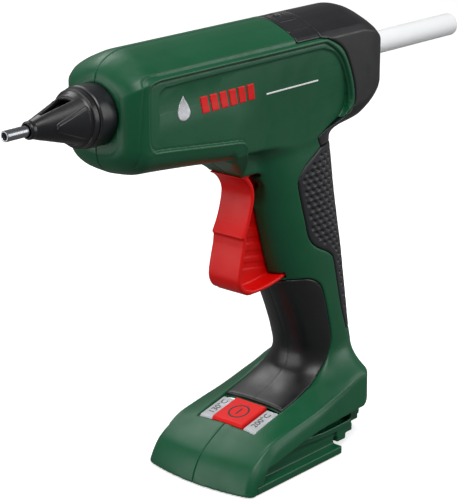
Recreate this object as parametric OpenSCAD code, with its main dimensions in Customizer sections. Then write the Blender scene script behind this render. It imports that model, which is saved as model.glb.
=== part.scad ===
/* [Overall] */
// Distance from the origin forward to the nozzle tip
tip_x = 149.6; // [149.6:0.1:150]
// Height of the barrel's axis above the rest plane
axis_h = 183.3; // [183:0.1:184]

/* [Barrel] */
// Half width of the barrel
barrel_w = 21.6; // [21.2:0.1:22.2]
// Crown of the barrel above its axis
barrel_top = 24.4; // [24:0.1:25.5]
// Thickness of the housing wall
wall = 3.4; // [3.2:0.1:3.6]

/* [Handle] */
// Half width of the handle
handle_w = 17; // [16.6:0.1:17.6]
// Thickness of the soft grip skins
grip_t = 1.7; // [1.4:0.1:1.8]

/* [Glue path] */
// Radius of the glue stick
stick_r = 5.55; // [5.5:0.01:5.56]
// Length of the glue stick
stick_l = 200; // [190:1:200]
// Radius of the nozzle's outlet
outlet_r = 1.4; // [1:0.1:1.6]
// Outer radius of the nozzle's tip tube
tip_r = 2.3; // [2.1:0.1:2.4]

/* [Trigger] */
// Pivot's distance behind the nozzle tip
pivot_t = 141; // [140.5:0.1:141.5]
// Pivot's depth below the barrel's axis
pivot_d = 27; // [26.8:0.1:27.2]
// Half width of the finger plate
blade_w = 9.3; // [8.8:0.1:9.3]
// Full squeeze in degrees
squeeze = 14; // [10:1:14]

/* [Battery foot] */
// Half width over the battery rails
rail_w = 31.7; // [31:0.1:31.7]
// Thickness of each rail's flange
rail_t = 3.8; // [3.4:0.1:4]

/* [Hidden] */
$fn = 64;
// Thickness of the slices that the smooth forms are drawn through
slice = 0.2;
// Radius of the trigger's lip about its pivot
pivot_r = 71.7;
// Where the carriage's trunnions stand at rest
rest_t = pivot_t + pivot_d * tan(squeeze / 2);

green = [0.13, 0.36, 0.26];
black = [0.13, 0.13, 0.15];
red = [0.82, 0.1, 0.08];
steel = [0.72, 0.73, 0.75];
clear = [0.8, 0.86, 0.9];

// The housing's side shape is drawn by t, the distance behind the nozzle tip, and z,
// the height from the barrel's axis.
function px(t) = tip_x - t;
function pz(z) = axis_h + z;
function at(p) = [px(p[0]), pz(p[1])];

// A smooth open curve through the points p, with n steps between two of them.
function curve(p, n = 4) = [
    for (i = [0 : len(p) - 2], k = [0 : n - 1])
        let (
            a = p[max(i - 1, 0)], b = p[i], c = p[i + 1], d = p[min(i + 2, len(p) - 1)],
            u = k / n
        )
        0.5 * (2 * b + (c - a) * u + (2 * a - 5 * b + 4 * c - d) * u * u
            + (3 * b - a - 3 * c + d) * u * u * u),
    p[len(p) - 1]
];

// A side outline, pulled through the body over the width from y0 to y1.
module side(p, y0, y1) {
    translate([0, y1, 0])
    rotate([90, 0, 0])
    linear_extrude(y1 - y0)
    polygon([for (q = p) at(q)]);
}

// A round bar along X from t0 to t1 behind the tip, at depth z and side y.
module bar(r, t0, t1, z = 0, y = 0) {
    translate([px(t1), y, pz(z)])
    rotate([0, 90, 0])
    cylinder(r = r, h = t1 - t0);
}

// A round bar along Y from y0 to y1, at t and z.
module crossbar(r, y0, y1, t, z) {
    translate([px(t), y1, pz(z)])
    rotate([90, 0, 0])
    cylinder(r = r, h = y1 - y0);
}

// A block from t0 to t1, y0 to y1 and z0 to z1.
module block(t0, t1, y0, y1, z0, z1) {
    translate([px(t1), y0, pz(z0)])
    cube([t1 - t0, y1 - y0, z1 - z0]);
}

// A solid of revolution about the barrel's axis: p holds [t, radius] points.
module turned(p) {
    translate([0, 0, axis_h])
    rotate([0, 90, 0])
    rotate_extrude()
    polygon([for (q = p) [q[1], px(q[0])]]);
}

// The barrel's cross section: a shallow dome, a short chamfer, flat sides and a round belly.
function section(w, top, low, s) = let (h = [
        [0, top], [0.28 * w, top - 0.6 * s], [0.55 * w, top - 2.5 * s],
        [0.75 * w, top - 4.7 * s], [0.9 * w, top - 7.1 * s], [w, top - 9.6 * s],
        [w, low + 8 * s], [0.95 * w, low + 5.2 * s], [0.8 * w, low + 2.8 * s],
        [0.5 * w, low + 0.9 * s], [0, low]
    ]) concat(h, [for (i = [9 : -1 : 1]) [-h[i][0], h[i][1]]]);

// Stations along the barrel: [t, half width, top, bottom, corner scale].
function stations(g) = [
    [49.5 + g, 13.6, 16.4, -18.5, 0.75],
    [50 + g, 16, 18.8, -21, 0.85],
    [51.9 + g, 18.7, 21.5, -23.7, 0.95],
    [54.6 + g, 20.5, 23.3, -25.4, 1],
    [58 + g, barrel_w, barrel_top, -27, 1],
    [93, barrel_w, barrel_top, -30.4, 1],
    [107, barrel_w, barrel_top, -32, 1],
    [160, barrel_w, barrel_top, -33, 1],
    [199, barrel_w, barrel_top, -30, 1],
    [207 - g / 2, 21.2, 22, -27.4, 0.95],
    [214 - g, 20, 17, -23, 0.8],
    [219 - g, 17, 10.5, -17.6, 0.55],
    [221.8 - g, 12.5, 4.5, -11.5, 0.3],
    [222.8 - g, 7.5, 0, -6, 0.1]
];

module slab(s, g) {
    translate([px(s[0]), 0, axis_h])
    rotate([90, 0, 90])
    linear_extrude(slice)
    polygon(section(s[1] - g, s[2] - g, s[3] + g, s[4]));
}

module barrel(g) {
    s = stations(g);
    for (i = [0 : len(s) - 2]) {
        hull() {
            slab(s[i], g);
            slab(s[i + 1], g);
        }
    }
}

// Levels down the handle: [z, front t, rear t, half width].
levels = [
    [-18, 130, 190, handle_w + 0.6], [-40, 136, 195.5, handle_w],
    [-59, 145, 198.5, handle_w], [-75, 150, 202, handle_w],
    [-91, 155, 205, handle_w], [-104, 160.4, 207, handle_w - 0.2],
    [-118, 167, 209, handle_w - 0.2], [-130, 172, 210.5, handle_w],
    [-138, 174, 212, handle_w + 0.6], [-146, 172.5, 213.5, handle_w + 2.5],
    [-152, 166, 214.5, handle_w + 5], [-158, 157, 215, handle_w + 7]
];

module oval(l, g) {
    a = (l[2] - l[1]) / 2 - g;
    b = l[3] - g;
    translate([px((l[1] + l[2]) / 2), 0, pz(l[0])])
    linear_extrude(slice)
    polygon([
        for (i = [0 : 31])
            let (c = cos(i * 11.25), s = sin(i * 11.25))
            [a * sign(c) * pow(abs(c), 0.85), b * sign(s) * pow(abs(s), 0.85)]
    ]);
}

module handle(g) {
    for (i = [0 : len(levels) - 2]) {
        hull() {
            oval(levels[i], g);
            oval(levels[i + 1], g);
        }
    }
}

// Stations along the foot: [t, middle height, ridge height, ridge half width, side half width,
// bottom height].
lip = -axis_h;
base = 10.6 - axis_h;
foot_stations = [
    [105.8, -180.4, -181.2, 7, 9, lip], [107.2, -177.2, -178.6, 15.5, 18.5, lip],
    [109.4, -174, -175.6, 21.5, 25.5, lip], [112, -171, -172.4, 24.8, 30.6, lip],
    [114.4, -168.9, -169.9, 26, rail_w, lip], [114.6, -168.7, -169.7, 26, rail_w, base],
    [122, -164.5, -165.4, 26, rail_w, base], [130, -160.4, -163.2, 26, rail_w, base],
    [145, -156.6, -160.8, 26, rail_w, base], [160, -152.6, -158.2, 26, rail_w, base],
    [180, -146.5, -153, 26, rail_w, base], [197, -141, -148.5, 25.5, rail_w, base],
    [205, -144, -150.5, 24, 30, base], [210.5, -151, -156.5, 20, 26.5, base],
    [213.5, -160, -163, 15, 21, base]
];

module rib(s, g) {
    low = s[5] + g;
    translate([px(s[0]), 0, axis_h])
    rotate([90, 0, 90])
    linear_extrude(slice)
    polygon([
        [0, s[1] - g], [0.5 * s[3], s[1] - g - 0.12 * (s[1] - s[2])],
        [max(s[3] - g, 1), s[2] - g],
        [max(s[3] + 0.7 * (s[4] - s[3]) - g, 2), max(s[2] - 4 - g, low + 0.4)],
        [max(s[4] - g, 3), low], [-max(s[4] - g, 3), low],
        [-max(s[3] + 0.7 * (s[4] - s[3]) - g, 2), max(s[2] - 4 - g, low + 0.4)],
        [-max(s[3] - g, 1), s[2] - g],
        [-0.5 * s[3], s[1] - g - 0.12 * (s[1] - s[2])]
    ]);
}

module foot(g) {
    f = g < 0.1 ? foot_stations : [
        for (s = foot_stations)
            if (s[0] > 114.5)
                [s[0] < 115 ? s[0] + 1 : s[0] > 204 ? s[0] - g : s[0], s[1], s[2], s[3], s[4], s[5]]
    ];
    for (i = [0 : len(f) - 2]) {
        hull() {
            rib(f[i], g);
            rib(f[i + 1], g);
        }
    }
}

// The whole outer form, moved in by g.
module form(g) {
    barrel(g);
    handle(g);
    foot(g);
}

// Side outlines of the pieces that share the form.
cap_region = [
    [170, 30], [170, 15], [174.3, 14.5], [182.6, 10.4], [187.9, 5], [192.7, -5],
    [195, -14.7], [193.4, -20.5], [186.7, -24.8], [179.4, -28.2], [173.5, -31.3],
    [177, -36.2], [240, -37.2], [240, 30]
];
band_region = [[153.4, 30], [153.4, 15.2], [169.8, 15.2], [169.8, 30]];
grip_rear_region = concat(
    curve([[176.8, -36.4], [166.2, -42.2], [161.3, -47.7], [160.9, -52.2], [165.7, -67.9],
        [169, -78], [174.3, -83.3], [183.9, -88.4], [188.2, -94.3], [194.3, -117.5],
        [199.6, -130.7]], 3),
    [[240, -134], [240, -37.4]]
);
grip_front_region = concat(
    [[140, -101.5], [157, -99.5]],
    curve([[161, -97.6], [169.5, -97.9], [175.7, -100.8], [180.1, -106.7], [185.9, -126.5],
        [186.2, -135.6], [181.7, -143.6], [170.3, -151], [149.6, -158.4]], 3),
    [[149.6, -150], [140, -150]]
);
window_region = [[129.4, -150], [129.4, -168], [149.4, -168], [149.4, -150]];

// The centres of the screws that hold the shells together: [t, z].
screws = [[79, 13.2], [119, 13], [161, 13], [112, -24.5], [166, -25], [186, -112], [200, -160],
    [122.5, -169.45]];

module bosses(y0, y1) {
    for (s = screws) {
        hull() {
            crossbar(3.2, y0, y1, s[0], s[1], $fn = 20);
            crossbar(2.6, y0, y1, s[0] + 1.2, s[1], $fn = 20);
        }
    }
}

// The slots for the trigger: its web, its finger plate near the top and its curved lip.
module trigger_slots() {
    side([[120, -30], [120, -97.5], [172, -97.5], [172, -60], [152, -30]], -2, 2);
    side([[126.5, -24], [126.5, -60], [150.5, -60], [150.5, -24]], -blade_w - 0.4, blade_w + 0.4);
    side(arc_band(pivot_r - 2.5, pivot_r + 0.5, -100, -50), -blade_w - 0.4, blade_w + 0.4);
    crossbar(5.1, -13.6, 13.6, pivot_t, -pivot_d);
}

// A part of a ring about the trigger's pivot, from angle a0 to a1 (0 points back).
function arc_point(r, a) = [pivot_t + r * cos(a), -pivot_d + r * sin(a)];
function arc_band(r0, r1, a0, a1) = concat(
    [for (i = [0 : 12]) arc_point(r0, a0 + (a1 - a0) * i / 12)],
    [for (i = [12 : -1 : 0]) arc_point(r1, a0 + (a1 - a0) * i / 12)]
);

// One half of the housing; s is 1 for the left half and -1 for the right.
module shell(s) {
    difference() {
        intersection() {
            union() {
                difference() {
                    form(0);
                    difference() {
                        union() {
                            side(grip_rear_region, -40, 40);
                            side(grip_front_region, -40, 40);
                        }
                        form(grip_t + 0.05);
                    }
                    form(wall);
                }
                intersection() {
                    union() {
                        bosses(-30, 30);
                        crossbar(4.6, 13.5, 30, pivot_t, -pivot_d, $fn = 24);
                        crossbar(4.6, -30, -13.5, pivot_t, -pivot_d, $fn = 24);
                    }
                    form(0.8);
                }
                for (t = [132, 179], y = [-16.6, 12.6]) {
                    block(t, t + 4, y, y + 4, -170.2, -168.65);
                }
            }
            if (s > 0) {
                translate([-200, 0, -1])
                cube([400, 60, 300]);
            } else {
                translate([-200, -60, -1])
                cube([400, 60, 300]);
            }
        }
        side(cap_region, -40, 40);
        side(band_region, -40, 40);
        side(window_region, -17.2, 17.2);
        trigger_slots();
        bar(12.1, 40, 60);
        bar(9.6, 40, 62);
        crossbar(2.05, -17, 17, pivot_t, -pivot_d, $fn = 32);
        block(137, 171, -11, 11, 5 - axis_h, 15 - axis_h);
        for (q = screws) {
            crossbar(1.65, -30, 6.5, q[0], q[1], $fn = 24);
            crossbar(3, -40, -9.5, q[0], q[1], $fn = 24);
        }
    }
}

module housing_left() {
    color(green) shell(1);
}

module housing_right() {
    color(green) shell(-1);
}

// The black cover over the barrel's back end, with the hole that the stick goes in by.
module rear_cover() {
    color(black)
    difference() {
        intersection() {
            union() {
                barrel(0);
                handle(0);
            }
            side(cap_region, -40, 40);
        }
        difference() {
            union() {
                barrel(2.6);
                handle(2.6);
            }
            bar(9.5, 205, 240, $fn = 48);
        }
        bar(7.45, 160, 240, $fn = 48);
    }
}

// The black saddle over the barrel in front of the rear cover.
module top_band() {
    color(black)
    difference() {
        intersection() {
            barrel(0);
            side([[153.5, 30], [153.5, 15.3], [169.7, 15.3], [169.7, 30]], -40, 40);
        }
        barrel(2.6);
        translate([px(166.6), -8.2, pz(21.4)])
        cube([10, 16.4, 10]);
    }
}

// The thin inlay in the top of the band.
module band_inlay() {
    color([0.2, 0.2, 0.22])
    intersection() {
        barrel(0);
        translate([px(166.5), -8.1, pz(21.45)])
        cube([9.8, 16.2, 10]);
    }
}

// The ring that sits in the barrel's front face.
module nozzle_collar() {
    color(black)
    turned([[41, 9.4], [40.2, 10], [40.2, 12.4], [40.8, 13], [46.6, 13], [49.2, 12.9],
        [49.2, 12], [53, 12], [53, 9.5]]);
}

// The heat cone round the nozzle, with four long recesses.
module nozzle_cover() {
    color(black)
    difference() {
        turned([[11.6, 2.5], [11.6, 4.6], [12.4, 5], [13.8, 5], [14.4, 4.6], [36.5, 11.7],
            [39.2, 12.3], [39.9, 12.3], [39.9, 10.6], [36, 9.6], [16, 3.2], [13.6, 2.5]]);
        for (a = [45, 135, 225, 315]) {
            translate([0, 0, axis_h])
            rotate([a, 0, 0])
            translate([px(35), -1.8, 10.2])
            cube([5, 3.6, 4]);
        }
    }
}

// The steel nozzle: tip tube, cone, hexagon and thread.
module nozzle() {
    color(steel)
    difference() {
        union() {
            turned([[0, 0], [0, tip_r - 0.3], [0.3, tip_r], [15.8, tip_r], [24, 4.8], [34, 4.8], [34, 0]]);
            translate([px(34), 0, axis_h])
            rotate([0, 90, 0])
            cylinder(r = 6.3, h = 6, $fn = 6);
            bar(3.85, 33, 57.5);
        }
        bar(outlet_r, -1, 59);
    }
}

// The aluminium body that melts the stick.
module melt_chamber() {
    color(steel)
    difference() {
        union() {
            bar(8.6, 50, 106);
            for (t = [66 : 6 : 96]) {
                bar(9.4, t, t + 2);
            }
            block(62, 96, -7, 7, -10.4, -4);
        }
        turned([[49, 0], [49, 3.9], [58, 3.9], [58, 1.8], [64, 1.8], [70, 5.95], [107, 5.95], [107, 0]]);
    }
}

// Two heat-proof plates that hold the chamber in the housing.
module chamber_mounts() {
    color([0.75, 0.72, 0.62])
    for (t = [58, 100]) {
        w = t < 90 ? 17 : 18.1;
        difference() {
            union() {
                bar(15.6, t, t + 3);
                block(t, t + 3, -w, w, -5, 5);
            }
            bar(8.68, t - 1, t + 4);
            if (t > 90) {
                block(t - 1, t + 4, -8.6, 8.6, -17, -10.9);
            }
            for (a = [0, 180]) {
                translate([px(t + 4), 0, axis_h])
                rotate([a, 0, 0])
                translate([0, -1.5, 11])
                cube([5, 3, 6]);
            }
        }
    }
}

// The flat heating element under the chamber.
module heater() {
    color([0.85, 0.82, 0.75])
    difference() {
        block(64, 94, -6, 6, -13.4, -10.4);
        for (y = [-4.6, 3.6]) {
            block(90, 95, y, y + 1, -12.4, -11.4);
        }
    }
}

// The spring strap that presses the heater to the chamber.
module heater_clip() {
    color(steel)
    for (t = [70, 84]) {
        difference() {
            union() {
                bar(10.5, t, t + 4);
                block(t, t + 4, -10.5, 10.5, -15, 0);
            }
            bar(9.7, t - 1, t + 5);
            block(t - 1, t + 5, -9.7, 9.7, -13.4, 0);
        }
    }
}

// The sensor on top of the chamber.
module thermal_sensor() {
    color([0.2, 0.2, 0.2])
    union() {
        block(98.1, 99.8, -2.5, 2.5, 8.7, 12);
        translate([px(98.95), 0, pz(12)])
        cylinder(r = 0.8, h = 2);
    }
}

// The soft sleeve that seals round the stick where it goes into the chamber.
module inlet_sleeve() {
    color([0.75, 0.3, 0.22])
    difference() {
        turned([[106, 0], [106, 8.6], [114, 8.6], [118, 7.6], [118, 0]]);
        bar(stick_r + 0.06, 105, 119);
    }
}

// The strap round the sleeve.
module sleeve_clamp() {
    color(steel)
    difference() {
        union() {
            bar(9.4, 108, 112);
            block(108, 112, -3, 3, 8, 12);
        }
        bar(8.6, 107, 113);
        block(107, 113, -0.6, 0.6, 8, 13);
    }
}

// The tube that guides the stick in from the rear cover.
module guide_tube() {
    color([0.3, 0.3, 0.32])
    difference() {
        turned([[172, 5.9], [172, 7.2], [200, 7.2], [200, 10.2], [202, 10.2], [202, 7.2],
            [216, 7.2], [216, 5.9]]);
        for (a = [0, 90, 180, 270]) {
            translate([0, 0, axis_h])
            rotate([a, 0, 0])
            translate([px(190), -1.2, 5])
            cube([12, 2.4, 4]);
        }
    }
}

// The carriage that the trigger's fork pushes along the stick.
module feed_carriage() {
    color([0.85, 0.85, 0.8])
    difference() {
        union() {
            bar(9.3, rest_t - 7.5, rest_t + 8);
            crossbar(2.5, -13.4, -8, rest_t, 0);
            crossbar(2.5, 8, 13.4, rest_t, 0);
            for (y = [-6.6, 4.4]) {
                block(rest_t - 2, rest_t + 5, y, y + 2.2, -15.5, -5);
            }
        }
        bar(stick_r + 0.4, rest_t - 9, rest_t + 9);
        block(rest_t - 8, rest_t + 5.2, -4.4, 4.4, -17, -3);
        crossbar(1.25, -8, 8, rest_t + 2.5, -12.8);
    }
}

// The toothed jaw under the stick.
module clamp_jaw() {
    color(steel)
    union() {
        side([[rest_t - 6.5, -6.7], [rest_t - 4, -7.6], [rest_t + 3.6, -10.6], [rest_t + 4, -14.4],
            [rest_t - 1, -14.4], [rest_t - 6.5, -9.4]], -4, 4);
        crossbar(1.2, -6.4, 6.4, rest_t + 2.5, -12.8);
    }
}

// One turn-by-turn wire: a tube of radius r swept along the points p.
module wire(p, r, n = 6) {
    m = len(p);
    function unit(v) = v / norm(v);
    dir = [for (i = [0 : m - 1]) unit(p[min(i + 1, m - 1)] - p[max(i - 1, 0)])];
    function across(d) = unit(cross(d, abs(d[0]) < 0.9 ? [1, 0, 0] : [0, 1, 0]));
    pts = [
        for (i = [0 : m - 1], k = [0 : n - 1])
            let (u = across(dir[i]), v = cross(dir[i], u))
            p[i] + r * (cos(k * 360 / n) * u + sin(k * 360 / n) * v)
    ];
    faces = concat(
        [[for (k = [n - 1 : -1 : 0]) k]],
        [[for (k = [0 : n - 1]) (m - 1) * n + k]],
        [for (i = [0 : m - 2], k = [0 : n - 1])
            [i * n + k, i * n + (k + 1) % n, (i + 1) * n + (k + 1) % n]],
        [for (i = [0 : m - 2], k = [0 : n - 1])
            [i * n + k, (i + 1) * n + (k + 1) % n, (i + 1) * n + k]]
    );
    polyhedron(points = pts, faces = [for (f = faces) [for (j = [len(f) - 1 : -1 : 0]) f[j]]]);
}

// The coil spring that pushes the carriage and the trigger back.
module return_spring() {
    coil_a = 118.7;
    coil_b = rest_t - 8.2;
    turns = 5;
    color(steel)
    wire([
        for (i = [0 : turns * 16])
            let (a = i * 22.5, t = coil_a + (coil_b - coil_a) * i / (turns * 16))
            [px(t), 7.6 * sin(a), pz(7.6 * cos(a))]
    ], 0.5);
}

// The red squeeze trigger: fork arms, hub, thin web, finger plate and curved lip.
module trigger() {
    lean = squeeze / 2;
    color(red)
    difference() {
        union() {
            crossbar(4.6, -13.2, 13.2, pivot_t, -pivot_d);
            for (y = [-13.2, 10]) {
                translate([px(pivot_t), 0, pz(-pivot_d)])
                rotate([0, -lean, 0])
                translate([-4.6, y, 0])
                cube([9.2, 3.2, pivot_d + 4.5]);
            }
            side([[133, -41], [137, -28], [147, -28], [161, -90], [159, -96.5], [137, -97.3],
                [130.5, -92], [131.4, -76], [134, -68], [138.4, -54], [138, -48], [133.5, -42]],
                -1.5, 1.5);
            side(concat(
                curve([[128, -40.4], [133.2, -45], [136.3, -49.6], [136.5, -54.6], [133.9, -63.5],
                    [131, -70]], 3),
                curve([[130.6, -76.6], [128.1, -87], [128.2, -92.2], [131, -96.4], [136.8, -98.6]], 3),
                [[137.6, -96.5]],
                curve([[133, -94.6], [130.4, -91.4], [130.3, -87], [132.8, -76.4], [133.3, -70]], 3),
                curve([[136.2, -63.5], [138.7, -54.8], [138.3, -48.6], [134.8, -43.4], [131.5, -40.4]], 3)
            ), -blade_w, blade_w);
            side([[128, -40.4], [128.6, -37.8], [146, -34], [146, -37.5], [131.5, -41]],
                -blade_w, blade_w);
            side(arc_band(pivot_r - 2, pivot_r, -95.5, -72), -blade_w, blade_w);
            side([[143, -25], [135, -25], [132, -38], [146, -38]], -8, 8);
        }
        crossbar(2.06, -20, 20, pivot_t, -pivot_d);
        for (y = [-15, 9]) {
            translate([px(pivot_t), 0, pz(-pivot_d)])
            rotate([0, -lean, 0])
            translate([0, y, pivot_d - 0.08])
            union() {
                translate([-2.62, 0, 0])
                cube([5.24, 6, 8]);
                translate([0, 6, 0])
                rotate([90, 0, 0])
                cylinder(r = 2.62, h = 6);
            }
        }
    }
}

// The pin the trigger turns on.
module trigger_pin() {
    color(steel) crossbar(2, -17, 17, pivot_t, -pivot_d);
}

// The dimpled soft grip on the handle's back.
module grip_rear() {
    color(black)
    difference() {
        intersection() {
            form(0);
            side(grip_rear_region, -40, 40);
        }
        form(grip_t);
        side(cap_region, -40, 40);
    }
}

// The smooth soft grip on the handle's front, down to the buttons.
module grip_front() {
    color(black)
    difference() {
        intersection() {
            form(0);
            side(grip_front_region, -40, 40);
        }
        form(grip_t);
        trigger_slots();
    }
}

// The red button, with its stem down to the switch.
module power_button() {
    color(red)
    union() {
        side([[129.8, -160.6], [131, -159.4], [148, -155.4], [149, -156.2], [149, -160.5],
            [129.8, -164]], -9.1, 9.1);
        block(137, 141, -2, 2, -164.4, -160);
    }
}

// A clear window beside the button, over a lamp; s is 1 on the left and -1 on the right.
module lens(s) {
    y0 = s > 0 ? 9.4 : -17;
    side([[129.7, -162], [131, -160.8], [148, -157.2], [149, -158], [149, -162.5], [129.7, -165.5]],
        y0, y0 + 7.6);
}

module lens_left() {
    color(clear) lens(1);
}

module lens_right() {
    color(clear) lens(-1);
}

// The control board in the foot.
module circuit_board() {
    color([0.1, 0.35, 0.2])
    difference() {
        block(131, 184, -17, 17, -168.6, -167);
        block(166, 174, -7, 7, -170, -166);
        for (t = [134, 180], y = [-14.5, 14.5]) {
            translate([px(t), y, pz(-169)])
            cylinder(r = 1.2, h = 3);
        }
    }
}

// The switch under the button.
module power_switch() {
    color(black)
    union() {
        block(136, 142, -3, 3, -167, -165.2);
        translate([px(139), 0, pz(-165.2)])
        cylinder(r = 1.5, h = 0.4);
    }
}

// The two lamps under the windows.
module indicator_leds() {
    color([0.9, 0.9, 0.75])
    for (y = [-13.2, 13.2]) {
        translate([px(139), y, pz(-167)])
        cylinder(r = 1.6, h = 2);
    }
}

// The heater's two leads, from the board up the handle and along the belly.
module heater_leads() {
    color([0.7, 0.12, 0.1])
    for (s = [-1, 1]) {
        wire([for (p = curve([
            [181, 9, -166.1], [186, 9, -163], [193, 9, -150], [194, 9, -130], [191, 9, -105],
            [188, 9, -80], [185, 9.6, -55], [178, 10.8, -36], [169, 13.8, -18], [150, 15.4, -12.5],
            [125, 14, -12.4], [108, 10, -12.3], [97, 4.1, -11.9], [95, 4.1, -11.9]
        ], 4)) [px(p[0]), s * p[1], pz(p[2])]], 0.8);
    }
}

// The leads from the contacts up to the board.
module battery_leads() {
    color([0.15, 0.15, 0.15])
    for (s = [-1, 1]) {
        wire([for (p = curve([
            [152, 4, -170.8], [161, 4, -170.5], [167.6, 4.4, -169.2], [170.5, 5, -166.8],
            [174, 6.4, -165.7], [178, 7.4, -166.1]
        ], 4)) [px(p[0]), s * p[1], pz(p[2])]], 0.8);
    }
}

// The plate under the foot with the rails that the battery pack slides on.
module battery_guide() {
    color(green)
    difference() {
        union() {
            translate([px(179), -26.4, 6.8])
            cube([64.2, 52.8, 3.7]);
            for (s = [0, 1]) {
                mirror([0, s, 0])
                translate([px(177), 22, 0])
                union() {
                    cube([62.2, rail_w - 22, rail_t]);
                    translate([0, 0, rail_t])
                    cube([62.2, 4.4, 6.8 - rail_t]);
                }
            }
            translate([px(203), -21, 6.8])
            cube([25, 42, 3.7]);
            translate([px(190), -27.5, 6.8])
            cube([12, 55, 3.7]);
            for (y = [-27.5, 21.5]) {
                translate([px(185), y, 4])
                cube([6.5, 6, 3]);
            }
        }
        translate([px(164.2), -14.2, 5])
        cube([28.4, 28.4, 8]);
    }
}

// The black block that holds the battery contacts.
module terminal_block() {
    color(black)
    difference() {
        union() {
            translate([px(164), -14, 1.4])
            cube([28, 28, 6.6]);
            translate([px(163), -10.6, 8])
            cube([26, 21.2, 3.6]);
        }
        for (y = [-10.5, -5.5, 3.5, 8.5]) {
            translate([px(160), y, 0])
            cube([25, 2, 6]);
        }
    }
}

// The contact blades in the block's slots.
module contact_blades() {
    color([0.85, 0.68, 0.35])
    for (y = [-9.9, -4.9, 4.1, 9.1]) {
        translate([px(159), y, 1.8])
        cube([20, 0.8, 4.2]);
    }
}

// The screws that hold the shells, driven from the right.
module housing_screws() {
    color(steel)
    for (q = screws) {
        difference() {
            union() {
                crossbar(1.5, -9.5, 6, q[0], q[1]);
                crossbar(2.7, -11.7, -9.5, q[0], q[1]);
            }
            crossbar(1.1, -12, -10.4, q[0], q[1], $fn = 6);
        }
    }
}

// The hot-melt stick.
module glue_stick() {
    color([0.86, 0.9, 0.94])
    bar(stick_r, 299.2 - stick_l, 299.2);
}

housing_left();
housing_right();
rear_cover();
top_band();
band_inlay();
nozzle_collar();
nozzle_cover();
nozzle();
melt_chamber();
chamber_mounts();
heater();
heater_clip();
thermal_sensor();
inlet_sleeve();
sleeve_clamp();
guide_tube();
feed_carriage();
clamp_jaw();
return_spring();
trigger();
trigger_pin();
grip_rear();
grip_front();
power_button();
lens_left();
lens_right();
circuit_board();
power_switch();
indicator_leds();
heater_leads();
battery_leads();
battery_guide();
terminal_block();
contact_blades();
housing_screws();
glue_stick();
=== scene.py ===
import math

import bmesh
import bpy
import numpy as np
import openvdb
from mathutils import Matrix, Vector


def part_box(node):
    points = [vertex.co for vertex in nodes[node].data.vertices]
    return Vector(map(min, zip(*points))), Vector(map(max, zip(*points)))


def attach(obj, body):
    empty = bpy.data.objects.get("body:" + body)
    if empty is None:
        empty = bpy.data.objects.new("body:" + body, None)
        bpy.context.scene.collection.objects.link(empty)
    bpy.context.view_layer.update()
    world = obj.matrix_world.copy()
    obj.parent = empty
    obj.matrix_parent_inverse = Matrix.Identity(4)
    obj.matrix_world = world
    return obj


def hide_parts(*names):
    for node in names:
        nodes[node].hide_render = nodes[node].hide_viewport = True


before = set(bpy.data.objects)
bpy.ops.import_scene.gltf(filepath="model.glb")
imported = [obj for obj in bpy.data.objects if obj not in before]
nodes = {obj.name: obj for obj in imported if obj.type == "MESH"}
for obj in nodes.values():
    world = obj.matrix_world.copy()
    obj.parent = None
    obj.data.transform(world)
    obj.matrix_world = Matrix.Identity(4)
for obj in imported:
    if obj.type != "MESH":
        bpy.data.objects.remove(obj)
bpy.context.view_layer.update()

# Everything is drawn by t, the distance behind the nozzle tip, y, and z, the height from
# the barrel's axis, all in millimetres.
TIP = float(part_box("nozzle")[1][0]) * 1000
AXIS = float(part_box("nozzle")[0][2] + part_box("nozzle")[1][2]) * 500


def to_row(t, y, z):
    return np.stack([(TIP - t) / 1000, y / 1000, (z + AXIS) / 1000], -1)


# ---------------------------------------------------------------- field tools


def smin(a, b, k):
    """Joins two fields with a fillet of size k."""
    h = np.clip(0.5 + 0.5 * (b - a) / k, 0, 1)
    return b + (a - b) * h - k * h * (1 - h)


def smax(a, b, k):
    """Intersects two fields with an edge rounded by k."""
    return -smin(-a, -b, k)


def step(x, a, b):
    """Rises smoothly from 0 at a to 1 at b."""
    u = np.clip((x - a) / (b - a), 0, 1)
    return u * u * (3 - 2 * u)


def curve(p, n=4):
    """A smooth line through the points p, with n pieces between two of them."""
    p = np.asarray(p, float)
    out = []
    for i in range(len(p) - 1):
        a, b, c, d = p[max(i - 1, 0)], p[i], p[i + 1], p[min(i + 2, len(p) - 1)]
        for k in range(n):
            u = k / n
            out.append(
                0.5 * (2 * b + (c - a) * u + (2 * a - 5 * b + 4 * c - d) * u * u
                       + (3 * b - a - 3 * c + d) * u ** 3)
            )
    out.append(p[-1])
    return [tuple(q) for q in out]


def through(x, xs, ys):
    """A smooth curve through the points, with no overshoot between them."""
    xs, ys = np.asarray(xs, float), np.asarray(ys, float)
    h = np.diff(xs)
    d = np.diff(ys) / h
    m = np.zeros(len(xs))
    m[0], m[-1] = d[0], d[-1]
    for i in range(1, len(xs) - 1):
        if d[i - 1] * d[i] > 0:
            w1, w2 = 2 * h[i] + h[i - 1], h[i] + 2 * h[i - 1]
            m[i] = (w1 + w2) / (w1 / d[i - 1] + w2 / d[i])
    x = np.clip(x, xs[0], xs[-1])
    i = np.clip(np.searchsorted(xs, x) - 1, 0, len(xs) - 2)
    u = (x - xs[i]) / h[i]
    return (
        ys[i] * (1 + 2 * u) * (1 - u) ** 2 + ys[i + 1] * u * u * (3 - 2 * u)
        + h[i] * (m[i] * u * (1 - u) ** 2 - m[i + 1] * u * u * (1 - u))
    )


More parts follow.
